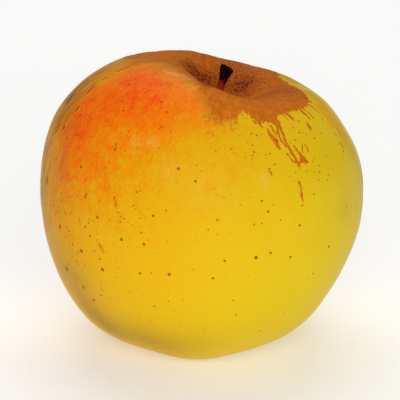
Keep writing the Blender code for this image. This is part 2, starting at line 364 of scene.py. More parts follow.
@dataclass(frozen=True)
class FruitForm:
    """Sizes of the fruit's skin, the same as the solid's, from the widest section's middle."""

    widest_radius: float = 40.3
    crown_height: float = 34.0
    base_depth: float = 42.0
    crown_fullness: float = 0.048
    base_fullness: float = 0.034
    crown_tilt: float = 0.354
    tilt_onset: float = 3.4
    overhang: float = 8.5
    overhang_power: float = 1.7
    relief_onset: float = 0.5
    funnel_depth: float = 11.3
    funnel_reach: float = 10.5
    funnel_sharpness: float = 1.89
    pit_depth: float = 3.4
    pit_reach: float = 4.5
    seat_radius: float = 1.8
    lobe_count: int = 5
    lobe_azimuth: float = -93.0
    rim_rib_height: float = 0.37
    rim_rib_radius: float = 16.0
    rim_rib_reach: float = 7.0
    flank_rib_share: float = 0.011
    flank_rib_polar: float = 138.0
    flank_rib_reach: float = 0.5
    foot_height: float = 0.4
    foot_radius: float = 14.0
    foot_reach: float = 6.0
    foot_flat: float = 0.5
    fold_azimuth: float = -140.0
    fold_half_angle: float = 0.45
    fold_height: float = 1.2
    fold_radius: float = 12.0
    fold_reach: float = 6.0
    basin_depth: float = 10.0
    basin_reach: float = 9.3
    swellings: tuple[Swelling, ...] = (
        Swelling(178.0, 65.0, 14.0, 1.9),
        Swelling(2.0, 24.5, 14.0, 2.1),
        Swelling(190.0, 138.5, 14.0, 1.2),
        Swelling(-8.0, 118.0, 14.0, -0.4),
        Swelling(0.0, 95.0, 14.0, 0.9),
        Swelling(215.0, 27.0, 12.0, 1.0),
    )

    def polar(self, row: Array) -> Array:
        """Polar angle for a row of 0 to 1, with rows crowded at both poles."""
        return np.pi * row - 0.25 * np.sin(2.0 * np.pi * row)

    def blended(self, crown: float, base: float, polar: Array) -> Array:
        """Value that turns from the base's to the crown's with the sine of a right angle's share."""
        side = np.sin(0.5 * np.pi * np.cos(polar))
        return 0.5 * (crown + base) + 0.5 * (crown - base) * side

    def growth(self, polar: Array, azimuth: Array) -> Array:
        """Outward growth: each swelling's height times a bell over the angle to its top."""
        total = np.zeros(np.broadcast(polar, azimuth).shape)
        for bump in self.swellings:
            top, width = math.radians(bump.polar), math.radians(bump.width)
            turned = np.cos(azimuth - math.radians(bump.azimuth))
            close = np.cos(polar) * math.cos(top) + np.sin(polar) * math.sin(top) * turned
            total += bump.height * np.exp((close - 1.0) / width ** 2)
        return total

    def lobes(self, azimuth: Array) -> Array:
        """Wave that is 1 on the lobes and -1 in the furrows between them."""
        return np.cos(self.lobe_count * (azimuth - math.radians(self.lobe_azimuth)))

    def crown_relief(self, radius: Array, azimuth: Array) -> Array:
        """Height change of the crown: funnel and pit down, rim ribs and fold up, all bells."""
        past_seat = np.hypot(radius, self.seat_radius) - self.seat_radius
        cavity = self.funnel_depth * bell(past_seat, self.funnel_reach, self.funnel_sharpness)
        cavity += self.pit_depth * bell(past_seat, self.pit_reach)
        ribs = self.rim_rib_height * self.lobes(azimuth)
        turn = wrapped(azimuth - math.radians(self.fold_azimuth))
        fold = self.fold_height * bell(turn, self.fold_half_angle)
        return (ribs * bell(radius - self.rim_rib_radius, self.rim_rib_reach)
                + fold * bell(radius - self.fold_radius, self.fold_reach) - cavity)

    def base_relief(self, radius: Array, azimuth: Array) -> Array:
        """Height change of the base: the basin's bell up, the feet's bells down."""
        feet = self.foot_height * self.lobes(azimuth) * bell(radius - self.foot_radius, self.foot_reach)
        return self.basin_depth * bell(radius, self.basin_reach) - feet

    def skin(self, row: Array, azimuth: Array) -> Array:
        """Points of the skin.

        The meridian is an ellipse made fuller half way up. The swellings stretch it outwards,
        the flank's ribs widen it, the crown's and the base's relief change its height, and
        last the crown is raised on one side and carried over to the other.

        Args:
            row: 0 at the cavity's bottom to 1 at the basin's.
            azimuth: Angle round the fruit in radians, 0 at +X.

        Returns:
            Points from the middle of the widest section.
        """
        polar = self.polar(row)
        across, up = np.sin(polar), np.cos(polar)
        fullness = self.blended(self.crown_fullness, self.base_fullness, polar)
        radius = self.widest_radius * across * (1.0 + fullness * up ** 2)
        height = self.blended(self.crown_height, self.base_depth, polar) * up
        height = height * (1.0 + fullness * across ** 2)
        stretch = 1.0 + self.growth(polar, azimuth) / np.hypot(radius, height)
        radius, height = radius * stretch, height * stretch
        flank = bell(polar - math.radians(self.flank_rib_polar), self.flank_rib_reach)
        radius = radius * (1.0 + self.flank_rib_share * self.lobes(azimuth) * flank)
        height = height + self.crown_relief(radius, azimuth) * smoothstep(up / self.relief_onset)
        height = height + self.base_relief(radius, azimuth) * smoothstep(-up / self.relief_onset)
        x, y = radius * np.cos(azimuth), radius * np.sin(azimuth)
        lift = np.maximum(height / self.crown_height, 0.0)
        tilt = self.crown_tilt * (1.0 - np.maximum(1.0 - lift, 0.0) ** self.tilt_onset)
        carried = x + self.overhang * lift ** self.overhang_power
        return np.stack([carried, y, height * (1.0 - tilt * x / self.widest_radius)], axis=-1)


class MarkTone(Enum):
    """Named colours of the dots on the skin."""

    OLIVE = "BA8226"
    RED = "B81E12"
    ORANGE = "E0700C"
    BROWN = "9A200E"


@dataclass(frozen=True)
class Patch:
    """A soft blot on the skin: its pixel in the photograph, its reach and its strength."""

    across: float
    down: float
    reach: float
    strength: float


def patches(*rows: tuple[float, float, float, float]) -> tuple[Patch, ...]:
    """Make a patch of each row of a pixel across and down, a reach and a strength."""
    return tuple(Patch(*row) for row in rows)


@dataclass(frozen=True)
class Blot:
    """A soft blot that the photograph doesn't show: azimuth in degrees, distance from the stalk."""

    azimuth: float
    arc: float
    reach: float
    strength: float


Route = tuple[tuple[float, float, float], ...]
"""A run down the skin: pixels along it in the photograph, each with its real half width."""

BLUSH = patches(
    (105, 125, 22.5, 0.41), (180, 160, 22, 0.03), (235, 166, 8, 0.07), (112, 98, 9, 0.35),
    (77, 129, 7.5, 0.58), (142, 78, 8, 0.55), (174, 98, 7.5, 0.3), (86, 102, 5, 0.28), (56, 185, 6, 0.13),
    (146, 114, 9, 0.36), (96, 166, 7, 0.2), (66, 160, 7, 0.2), (100, 190, 6, 0.12), (52, 222, 6, 0.1),
    (202, 104, 7, 0.3), (322, 110, 5, 0.2), (340, 130, 4.5, 0.12), (208, 190, 1.1, 0.1),
    (65, 205, 5, 0.14), (70, 171, 4.5, 0.14), (53, 205, 4.5, 0.1), (72, 242, 6, 0.11), (128, 76, 4, 0.1),
    (82, 276, 6, 0.06), (166, 79, 4.5, 0.14),
)
"""The warm blush, hottest on the upper left, with an ochre tint beyond the russet on the right."""

BLUSH_HIDDEN = Blot(160.0, 47.0, 18.0, 0.3)
"""Where the blush runs out on the far side."""

EDGE_BLOOM_SHEEN_AND_SHADE = patches(
    (58, 118, 5.5, 0.6), (71, 96, 6, 0.9), (93, 76, 5.6, 0.65), (122, 60, 5.5, 0.6), (150, 58, 6, 0.4),
    (172, 55, 5.5, 0.35), (46, 152, 5.5, 0.6), (42, 188, 6, 0.65), (47, 225, 6, 0.5), (60, 268, 6, 0.35),
    (80, 300, 6, 0.35), (67, 132, 4, 0.3), (59, 168, 4.5, 0.35), (58, 204, 4.5, 0.3),
    (66, 242, 4.5, 0.18), (185, 79, 2.2, 0.3), (362, 180, 7, 0.3), (285, 76, 3.2, 0.5),
    (298, 83, 3.2, 0.45), (309, 93, 3, 0.35), (322, 106, 4, 0.16), (338, 126, 4, 0.18),
    (351, 150, 4, 0.28),
)
# Thin tan bloom along the upper left, the left edge and the right shoulder, with painted sheen along these
# edges and painted shade on the left edge.
"""Thin tan bloom along the upper left, the left edge and the right shoulder."""

SOFTENED = patches(
    (186, 84, 6.5, 1), (193, 102, 5.5, 1), (165, 68, 5, 0.8), (140, 64, 6, 0.8), (120, 68, 6, 1),
    (207, 113, 4, 0.4), (221, 120, 4, 0.35), (202, 92, 4, 0.3),
)
"""Where the russet's edge fades out instead of breaking off."""

STAINS_AND_CAVITY_SHADE = patches(
    (187, 63, 2.2, 0.6), (192, 71, 2, 0.75), (200, 79.5, 2.5, 1), (209, 85.5, 2.5, 1),
    (211, 79, 2.6, 0.35), (241, 88.5, 3, 0.8), (248, 80, 3, 0.42), (232, 93, 2.2, 0.9),
    (240, 95.5, 1.8, 0.5), (225, 80, 4, 0.2), (262, 84, 6, 0.16), (286, 91, 7, 0.34), (205, 58, 8, 0.3),
    (238, 66, 6, 0.38), (276, 76, 4.5, 0.2),
)
# Dark red stippling inside the cavity, with a thin wash of the same red behind and beside it; the wash is
# partly painted shade in the hollow.
"""Dark red stippling inside the cavity, with a thin wash of the same red behind and beside it."""

PAINTED_SHADE_PATCHES = patches(
    (62, 262, 7, 0.1), (77, 279, 7, 0.25), (94, 314, 6.5, 0.32), (110, 330, 5.5, 0.3),
    (130, 333, 7, 0.22), (162, 344, 8, 0.3), (203, 343, 7, 0.1), (346, 206, 4, 0.12), (356, 252, 10, 0.1),
    (163, 67, 4, 0.24),
)
# Painted shade low on the left and along the bottom, and thinly by the lip and the right edge.
"""Duller skin low on the left and along the bottom, and thinly by the lip and the right edge."""

RAISED = patches(
    (196, 81, 3.2, 0.1), (204, 86.5, 3.2, 0.22), (213, 90, 3.2, 0.22), (223, 93, 3.2, 0.14),
    (233, 96, 3.2, 0.1),
)
"""Where the cavity's lip stands higher than the solid's. The strength is a height."""

PAINTED_GLINTS = patches(
    (136, 142, 1.3, 0.7), (153.5, 142, 1.4, 0.7), (168, 170, 2.2, 0.3), (172, 73, 1.2, 0.5),
    (182, 76.5, 1.2, 0.5), (265, 181, 2, 0.35), (301, 85, 2, 0.9), (309, 90, 1.8, 0.9),
    (317, 96, 1.4, 0.7),
)
# Painted highlights: pale glints on the front, by the cavity's lip and along the right shoulder.
"""Pale scuffed spots where the wax is rubbed, also on the right shoulder."""

RUSSET_SEEN = (
    (120.0, 70.0), (138.0, 65.5), (152.0, 64.5), (166.0, 71.0), (178.0, 78.0), (190.0, 88.0),
    (198.0, 108.0), (208.0, 124.0), (222.0, 127.0), (236.0, 119.0), (242.0, 111.0),
    (254.0, 119.0), (268.0, 122.0), (280.0, 114.0), (292.0, 112.0), (304.0, 108.0), (308.5, 101.0),
    (306.0, 95.5), (299.5, 89.5), (290.0, 84.0), (279.0, 77.5),
)
"""Pixels along the russet's edge on the side that the photograph shows, left to right."""

RUSSET_HIDDEN = ((58.0, 25.0), (80.0, 27.0), (110.0, 32.0), (150.0, 34.0), (172.0, 30.0))
"""Azimuth in degrees and distance from the stalk of the russet's edge on the far side."""

STREAKS: tuple[Route, ...] = (
    ((262, 110, 2.2), (270, 117, 1.7), (276, 122, 1.2), (280, 127.5, 0.45), (285.7, 141.8, 0.32)),
    ((285.7, 141.8, 0.32), (291.5, 152.7, 0.42), (296, 160, 0.4), (299, 166, 0.35), (299.5, 169.4, 0.05)),
    ((277, 122, 0.4), (277.5, 132, 0.35), (281, 140.5, 0.2), (286, 146.5, 0.25)),
    ((287, 153.3, 0.1), (291, 160, 0.28), (296, 162.5, 0.3)),
    ((291.5, 164.8, 0.18), (294.4, 167.6, 0.08)),
    ((267.2, 128, 0.12), (270, 134, 0.5), (275, 140.5, 0.75), (279.5, 148.5, 0.35)),
    ((271, 126, 0.3), (274, 132, 0.2), (277.5, 136.5, 0.1)),
    ((293.2, 144.7, 0.1), (296, 149, 0.22), (300, 154.5, 0.4), (303.5, 159.5, 0.85), (307, 162, 0.35)),
    ((303.5, 160, 0.75), (299.5, 162.5, 0.3)),
    ((294.6, 149.5, 0.15), (296.8, 153, 0.1)),
    ((304.5, 163, 0.15), (306.4, 166, 0.08)),
    ((301.8, 142.8, 0.08), (302.4, 147, 0.16), (302.4, 152.3, 0.1)),
    ((305.3, 145.2, 0.12), (307.4, 148.7, 0.18), (308.7, 152.3, 0.06)),
    ((298.7, 181.6, 0.22), (300.9, 188, 0.24), (301.5, 196.5, 0.34), (303.2, 202.2, 0.05)),
    ((306.8, 123.3, 0.25), (309.1, 127, 0.62), (312.2, 132, 0.06)),
    ((296, 98, 1.6), (305, 102, 0.5), (311, 101.5, 0.2)),
    ((302, 102, 0.5), (311.5, 106.8, 0.16), (318.3, 112.8, 0.16)),
    ((300, 104, 0.5), (306, 106.5, 0.2), (311.5, 110, 0.1)),
    ((299, 106, 0.5), (304, 109.5, 0.26), (309, 113.5, 0.2), (313.2, 118, 0.16)),
    ((295, 106, 0.9), (301, 111, 0.42), (309.7, 118.8, 0.24)),
    ((321.8, 119, 0.16), (323.8, 122.3, 0.1)),
    ((276, 108, 1.0), (284, 112.8, 0.5), (289, 116, 0.5), (293, 120.2, 0.3), (295.5, 121.5, 0.05)),
    ((275, 110, 0.9), (280.5, 113.5, 0.25), (287.3, 118.8, 0.12)),
    ((297.4, 120.8, 0.14), (300, 122.6, 0.1)),
    ((242.5, 115.6, 0.24), (246, 118.8, 0.15)),
    ((251, 114, 0.3), (252.4, 119.5, 0.2), (256, 123, 0.3)),
    ((256, 112, 1.2), (258, 119, 0.9), (260.5, 125.5, 0.3), (263.5, 128, 0.06)),
    ((207, 132.5, 0.25), (211.5, 131.5, 0.25), (212.8, 136, 0.2)),
    ((202.5, 119, 0.5), (207.5, 121.5, 0.9), (209.5, 126.5, 0.3)),
    ((222.5, 124, 0.9), (222.8, 128, 0.3), (224.5, 132.5, 0.15)),
    ((230, 122, 0.8), (231, 127, 0.3), (232.5, 131.5, 0.12)),
    ((235, 118, 0.9), (236.5, 126, 0.3), (233, 130, 0.1)),
    ((268.2, 171.5, 0.08), (268.6, 169.5, 0.12), (270, 168, 0.08)),
    ((270.5, 171.5, 0.06), (271, 174, 0.14), (272.5, 176.5, 0.06)),
    ((98.5, 243, 0.12), (101, 247, 0.2), (103, 252, 0.1)),
    ((100.3, 284.5, 0.1), (103.7, 292.5, 0.14)),
)
"""Tongues and flecks of russet below its edge, longest on the right."""

DASHES: tuple[Route, ...] = (
    ((78.8, 87, 0.2), (70.6, 96.2, 0.55), (66.8, 101, 0.4), (64.8, 103.5, 0.1)),
    ((94.5, 85.4, 0.14), (91, 88.5, 0.26), (87.3, 92.6, 0.28)),
    ((106.5, 77, 0.2), (102.5, 79.2, 0.2)),
    ((131, 65.5, 0.08), (124, 68, 0.16), (117, 71.5, 0.1)),
    ((95.6, 81.8, 0.12), (91.3, 85, 0.16)),
    ((78.4, 107, 0.26), (75.7, 111, 0.16)),
    ((59.8, 125, 0.26), (57.9, 128, 0.2)),
    ((64.8, 126, 0.16), (63.6, 129, 0.22)),
    ((56.8, 130.5, 0.24), (55.5, 133.5, 0.1)),
    ((52, 142.5, 0.2), (51.2, 144.5, 0.2)),
    ((55.8, 120, 0.1), (54.8, 122, 0.1)),
    ((47.4, 176.5, 0.24), (47, 183, 0.34)),
    ((336.5, 128.5, 0.12), (340.3, 135, 0.08)),
    ((335, 133.8, 0.16), (336.2, 135.4, 0.1)),
    ((340.2, 142.2, 0.14), (344.2, 148.4, 0.1)),
    ((287.9, 75.6, 0.1), (292, 77.8, 0.2), (297, 80.6, 0.1)),
)
"""Short dark brown dashes drawn out along the meridians near the left and right edges."""

PAINTED_HIGHLIGHT_LINES: tuple[Route, ...] = (
    ((164, 71.5, 0.05), (170, 73.2, 0.2), (177, 74.8, 0.1)),
    ((173, 76, 0.05), (180, 76.2, 0.22), (187, 77.8, 0.16), (192, 79.5, 0.05)),
    ((183, 79.3, 0.08), (189, 80.2, 0.3), (195, 81, 0.12)),
    ((190, 75.8, -0.1), (205, 84.4, -0.02), (216, 89, -0.04), (226, 93.2, -0.1), (238, 96.8, -0.1)),
    ((244, 98.2, -0.15), (251, 97.8, 0.0), (262, 95.5, -0.15)),
    ((105.5, 67.5, 0.0), (118, 63.5, 0.2), (132, 60.2, 0.0)),
    ((130, 61.3, 0.0), (139, 59.9, 0.2), (148, 59.7, 0.0)),
    ((135, 67.9, -0.1), (144, 66, 0.1), (152, 64.8, -0.05)),
    ((86, 82, -0.05), (92, 78.5, 0.15), (99, 73.5, -0.1)),
)
# Thin painted highlight lines along the cavity's lip and the upper left. A width below 0 is fainter.
"""Thin pale lines of wax along the cavity's lip and the upper left. A width below 0 is fainter."""

MARKS = {
    MarkTone.OLIVE: (
        (170, 85.3, 0.75), (119.7, 101.8, 0.95), (115.3, 147.1, 0.8), (150.2, 116, 0.6), (137, 148, 0.6),
        (158.8, 147.5, 0.5), (180.5, 325, 0.4), (94.5, 99.5, 0.5), (108.3, 119.6, 0.45),
        (95, 119.4, 0.35), (252.6, 155.3, 0.55), (344, 155.6, 0.35), (105.5, 174, 0.45),
        (215.5, 151.5, 0.4), (81.5, 92.4, 0.35), (65.7, 107, 0.4),
    ),
    MarkTone.RED: (
        (166.7, 112, 0.5), (161.5, 126.8, 0.45), (178.5, 168.8, 0.8), (97.3, 217.3, 0.65),
        (143.8, 244.4, 0.75), (102.7, 269.4, 1.0), (217.4, 219.7, 0.5), (277, 140.5, 0.6),
        (302.2, 205.5, 0.45), (80.2, 115.4, 0.5), (89.6, 117, 0.45), (123.6, 110.5, 0.4),
        (227.4, 117, 0.45), (245, 157.5, 0.3), (72.4, 103.3, 0.4), (66.6, 110, 0.5), (77.5, 135, 0.5),
        (129, 84.5, 0.5), (122.3, 101.2, 0.4),
    ),
    MarkTone.ORANGE: (
        (115.7, 201, 0.6), (115.7, 202.5, 0.7), (115.8, 204, 0.85), (115.8, 205.8, 0.75), (86, 198, 0.6),
        (72, 196, 0.5), (104.5, 168, 0.6), (98, 171, 0.5), (215.7, 188.5, 0.4), (240.3, 205, 0.4),
        (217.5, 234, 0.4), (234, 152.5, 0.4), (60.5, 229.5, 0.5),
    ),
    MarkTone.BROWN: (
        (115.9, 144.2, 0.4), (115, 149.8, 0.5), (161.5, 102.3, 0.55), (81.3, 166.8, 0.65),
        (85.7, 196.3, 0.6), (86.6, 194, 0.5), (47.2, 180, 0.4), (153.3, 215.8, 0.6),
        (195.5, 181.3, 0.65), (60.5, 226.5, 1), (121.4, 239.5, 0.75), (81.2, 251, 0.9),
        (66.7, 268.7, 1.3), (140.2, 273.2, 0.6), (169, 274.6, 0.8), (213, 278.1, 0.6),
        (224.6, 260.7, 0.6), (256.2, 257.8, 0.9), (271, 253.2, 0.75), (290.9, 257.4, 0.7),
        (329.1, 246.5, 0.65), (313.6, 273.7, 0.5), (299.8, 225.4, 0.6), (268.4, 211.7, 0.6),
        (262, 201.1, 0.55), (346.6, 206.7, 0.55), (351.5, 206.7, 0.35), (232.9, 300, 0.5),
        (235.9, 314.4, 0.5), (154.4, 306.1, 0.45), (93.9, 300, 0.9), (101.7, 295.2, 0.5),
        (83.3, 287.4, 0.85), (249.6, 102.6, 0.5), (253.8, 151.8, 0.45), (256.9, 135.2, 0.45),
        (251.7, 133.2, 0.45), (261.8, 134.4, 0.35), (252.6, 145, 0.4), (266, 154.6, 0.35),
        (270, 153.5, 0.4), (231.6, 148.8, 0.35), (54.5, 205.8, 0.55), (58.5, 212.3, 0.4),
        (77.2, 196.7, 0.35), (69.1, 196.7, 0.35), (61.3, 200.2, 0.4), (70.4, 213.2, 0.35),
        (65.6, 213.9, 0.4), (78, 221.1, 0.4), (66.6, 226.4, 0.4), (69.1, 231.1, 0.45),
        (85.2, 226.8, 0.5), (88.5, 223, 0.4), (93.3, 220.6, 0.3), (72.6, 244.4, 0.5), (63.5, 249, 0.3),
        (89.8, 236, 0.55), (94.5, 251.2, 0.4), (100, 258.9, 0.5), (76.6, 261.3, 0.4),
        (68.2, 264.9, 0.5), (77.8, 278.5, 0.4), (86.4, 285.7, 0.35), (116.8, 277.1, 0.35),
        (151.2, 273.3, 0.35), (141.4, 232.6, 0.45), (114.7, 197.4, 0.4), (118.5, 212.5, 0.35),
        (120.6, 216.6, 0.3), (118.5, 222.1, 0.3), (109.6, 220, 0.25), (133.3, 205.6, 0.35),
        (135.7, 209.1, 0.3), (140.2, 217.9, 0.3), (166.3, 210.4, 0.35), (136.4, 192.1, 0.4),
        (140, 191, 0.3), (62.5, 176.5, 0.55), (69.5, 173.8, 0.45), (62, 180, 0.4), (254.4, 224.4, 0.4),
        (261.8, 223.7, 0.4), (280.6, 220.2, 0.35), (273.5, 204.7, 0.3), (274.6, 164.6, 0.4),
        (289.5, 176.5, 0.3), (313.3, 194.3, 0.5), (318.5, 179.7, 0.35), (319.6, 172.2, 0.4),
        (314.2, 171.7, 0.35), (319, 165.9, 0.35), (314.4, 158.5, 0.3), (312.7, 161.3, 0.35),
        (306.4, 171.4, 0.35), (295.2, 172.8, 0.35), (326.5, 156.5, 0.35), (321.4, 133.4, 0.4),
        (314.4, 138.4, 0.5), (299.2, 132.6, 0.45), (302.3, 133.4, 0.3), (306.3, 134.6, 0.3),
        (295.3, 140, 0.4), (290.5, 142.9, 0.35), (292.8, 127.7, 0.35), (331.2, 125.8, 0.35),
        (333.4, 127.4, 0.35), (343.4, 151.2, 0.45), (338.3, 121, 0.4), (342.6, 184.3, 0.45),
        (349.5, 189.7, 0.35), (351.5, 178.6, 0.3), (350.3, 158.5, 0.35), (347.7, 160.8, 0.3),
        (356.3, 208.4, 0.3), (334, 168.2, 0.3), (328.5, 175.4, 0.35), (327.6, 180, 0.35),
        (287.3, 155, 0.3), (78.5, 94.4, 0.5), (97.4, 152.8, 0.3), (89.9, 153, 0.35), (67.5, 138.8, 0.4),
        (259.7, 330.5, 0.45), (53, 160, 0.35), (52.5, 171, 0.3), (60.8, 161.5, 0.4), (65, 186, 0.3),
        (54, 191.5, 0.3), (61, 193, 0.35),
    ),
}
"""Dots that stand out on the skin: pixels across and down, and the real diameter."""


@dataclass(frozen=True)
class SkinFinish:
    """Waxed skin: yellow, blushed with orange and red, russeted round the stalk, and dotted."""

    yellow: str = "EAB20C"
    lemon: str = "E2C419"
    amber: str = "EE9E0A"
    orange: str = "FA8206"
    scarlet: str = "FA4A08"
    russet: str = "D67410"
    russet_dark: str = "BE620E"
    russet_pale: str = "D08C34"
    stain_and_shade: str = "64160C"
    # the cavity's red wash: partly real stain, partly painted shade in the hollow
    stain_and_shade_wash: str = "8C3412"
    bloom: str = "A66C1C"
    # pale threads of painted sheen along the edges
    pale_sheen_thread: str = "D4A048"
    bloom_dark: str = "7A4416"
    dash: str = "5E1E0C"
    # colour of the painted shade low on the left, along the bottom, by the lip and the right edge
    painted_shade: str = "7C5A1E"
    # colour of the painted pale glints
    glint_colour: str = "FFC878"
    # colour of the painted highlight lines
    painted_highlight: str = "F0B468"
    pore: str = "AE3808"
    roughness: float = 0.38
    refraction: float = 1.13
    russet_roughness: float = 0.62
    pore_spacing: float = 1.45
    speck_spacing: float = 4.6
    streak_width: float = 0.34
    streak_length: float = 1.7
    fringe: float = 3.2
    tongue: float = 14.0
    bump: float = 0.05
    batch: int = 12

    def material(self, streaks: list[Array], dashes: list[Array], painted_highlight_lines: list[Array],
                 dots: dict[MarkTone, Array]) -> bpy.types.Material:
        """Build the skin's layers from the ground colour up.

        Args:
            streaks: Rows of points and half widths along each russet streak, in millimetres.
            dashes: The same for each dark dash.
            painted_highlight_lines: The same for each thin painted highlight line.
            dots: Rows of points and half widths of the dots of each colour.

        Returns:
            The material.
        """
        graph = Graph("waxed_apple_skin")
        place = graph.place()
        lines = graph.field("meridian", "Vector")
        spread = {title: graph.field(title)
                  for title in ("russet", "soft", "blush", "edge_bloom_sheen_and_shade", "painted_shade", "stain_and_shade", "painted_glint", "hidden")}
        spread["lines"] = lines
        russet = self.russet_share(graph, place, spread, streaks)
        colour = self.blushed(graph, place, lines, spread)
        colour = self.russeted(graph, place, lines, colour, russet, spread["stain_and_shade"])
        colour = self.bloom_sheen_and_shade(graph, lines, colour, spread)
        colour = self.dotted(graph, place, colour, russet, spread["hidden"], dots)
        dash = self.inside_runs(graph, place, dashes, -1.0)
        colour = graph.tinted(colour, self.dash, graph.between(dash, -0.2, 0.14, 0.0, 0.85))
        # painted highlights: thin pale lines along the cavity's lip and the upper left
        painted_highlight = self.inside_runs(graph, place, painted_highlight_lines, -1.0)
        colour = graph.tinted(colour, self.painted_highlight, graph.between(painted_highlight, -0.3, 0.12, 0.0, 0.6))
        # painted highlights: pale glints on the front, the lip and the right shoulder
        colour = self.glinted(graph, lines, colour, spread["painted_glint"])
        rough = graph.add("MapRange", {"Value": russet, 3: self.roughness, 4: self.russet_roughness})
        height = graph.math("MULTIPLY_ADD", graph.noise(place, 0.5, 3.0), graph.noise(place, 2.2), 1.5)
        normal = graph.add("Bump", {"Height": height, "Strength": 0.25, "Distance": self.bump * MM})
        graph.feed(graph.shader, {"Base Color": colour, "Roughness": rough, "Normal": normal,
                                  "IOR": self.refraction})
        return graph.material

    def blushed(self, graph: Graph, place: Any, lines: Any, spread: dict[str, Any]) -> Any:
        """Ground colour: yellow, greener to the lower right, warmed by the streaky blush."""
        side = graph.add("VectorMath", {0: place, 1: (0.7, 0.0, -0.5)}, "Value", operation="DOT_PRODUCT")
        drift = graph.math("MULTIPLY_ADD", graph.noise(place, 14.0), 20.0, side)
        ground = graph.tinted(self.yellow, self.lemon, graph.between(drift, -32.0, 24.0))
        streak = graph.noise(lines, self.streak_width, 3.0, self.streak_length)
        blot = graph.noise(place, 3.0, 3.0)
        speckle = graph.math("MULTIPLY_ADD", graph.noise(place, 0.5, 4.0), 1.1, -1.7)
        uneven = graph.math("MULTIPLY_ADD", streak, 1.3, blot)
        uneven = graph.math("ADD", uneven, speckle)
        swing = graph.between(spread["blush"], 0.0, 0.6, 0.35, 1.0)
        warm = graph.math("MULTIPLY_ADD", uneven, swing, spread["blush"])
        ground = graph.tinted(ground, self.amber, graph.between(warm, 0.02, 0.4))
        ground = graph.tinted(ground, self.orange, graph.between(warm, 0.24, 0.8))
        return graph.tinted(ground, self.scarlet, graph.between(warm, 0.6, 1.5))

    def bloom_sheen_and_shade(self, graph: Graph, lines: Any, colour: Any, spread: dict[str, Any]) -> Any:
        """Painted shade low down; along the edges a thin tan bloom with painted sheen, pale sheen threads and
        brown threads along the meridians.
        """
        # painted shade: darker, duller skin low on the left, along the bottom, by the lip and the right edge
        colour = graph.tinted(colour, self.painted_shade, spread["painted_shade"])
        film = graph.between(graph.noise(lines, 0.8, 4.0, 5.0), 0.3, 0.65, 0.35, 0.95)
        thread = graph.noise(lines, 1.3, 4.0, 11.0)
        # tan bloom with painted sheen along the edges, and painted shade on the left edge
        layers = {self.bloom: film, self.pale_sheen_thread: graph.between(thread, 0.46, 0.36, 0.0, 0.6),
                  self.bloom_dark: graph.between(thread, 0.54, 0.64, 0.0, 0.55)}
        for tone, share in layers.items():
            share = graph.math("MULTIPLY", share, graph.add("Clamp", {0: spread["edge_bloom_sheen_and_shade"]}))
            colour = graph.tinted(colour, tone, share)
        return colour

    def glinted(self, graph: Graph, lines: Any, colour: Any, painted_glint: Any) -> Any:
        """Painted highlights: pale glints in streaks along the meridians, where their attribute lets them
        show.
        """
        glint_streak = graph.between(graph.noise(lines, 0.28, 2.0, 2.4), 0.45, 0.62, 0.0, 0.7)
        share = graph.math("MULTIPLY", glint_streak, graph.add("Clamp", {0: painted_glint}))
        return graph.tinted(colour, self.glint_colour, share)

    def dotted(self, graph: Graph, place: Any, colour: Any, russet: Any, hidden: Any,
               dots: dict[MarkTone, Array]) -> Any:
        """Pores: a scatter of tiny ones, fewer on the russet, and the named dots.

        Where the photograph shows nothing, a sparse scatter of specks stands for named dots.
        """
        speck = graph.add("TexVoronoi", {"Vector": place, "Scale": 1.0 / self.speck_spacing}, "Distance")
        share = graph.math("MULTIPLY", graph.between(speck, 0.1, 0.06), hidden)
        colour = graph.tinted(colour, MarkTone.BROWN.value, share)
        cell = graph.add("TexVoronoi", {"Vector": place, "Scale": 1.0 / self.pore_spacing}, "Distance")
        left = graph.add("SeparateXYZ", {0: place}, 0)
        dense = graph.between(left, 20.0, -42.0, -0.1, 0.1)
        dense = graph.math("MULTIPLY_ADD", hidden, 0.12, dense)
        size = graph.math("ADD", graph.noise(place, 2.6), dense)
        pore = graph.math("SUBTRACT", graph.between(size, 0.4, 0.6, 0.0, 0.15), cell)
        faint = graph.between(graph.noise(place, 1.9), 0.35, 0.6, 0.25, 0.9)
        faint = graph.math("MULTIPLY", faint, graph.between(russet, 0.2, 0.8, 1.0, 0.3))
        share = graph.math("MULTIPLY", graph.between(pore, -0.03, 0.06), faint)
        colour = graph.tinted(colour, self.pore, share)
        for tone, rows in dots.items():
            inside = self.inside_runs(graph, place, [row[None] for row in rows], -1.0)
            colour = graph.tinted(colour, tone.value, graph.between(inside, -0.15, 0.12, 0.0, 0.9))
        return colour

    def inside_runs(self, graph: Graph, place: Any, runs: list[Array], reach: Any) -> Any:
        """Join a signed distance with the distance inside every run, a batch to each group.

        Args:
            graph: The material's graph.
            place: Socket with the place in millimetres.
            runs: Rows of points and half widths along each run. A dot is a run of one row.
            reach: Signed distance that the runs are joined with.

        Returns:
            The joined signed distance.
        """
        for start in range(0, len(runs), self.batch):
            batch = runs[start:start + self.batch]
            inside = graph.grouped("inside_runs", place, lambda inner, at: self.inside(inner, at, batch))
            reach = graph.math("MAXIMUM", reach, inside)
        return reach

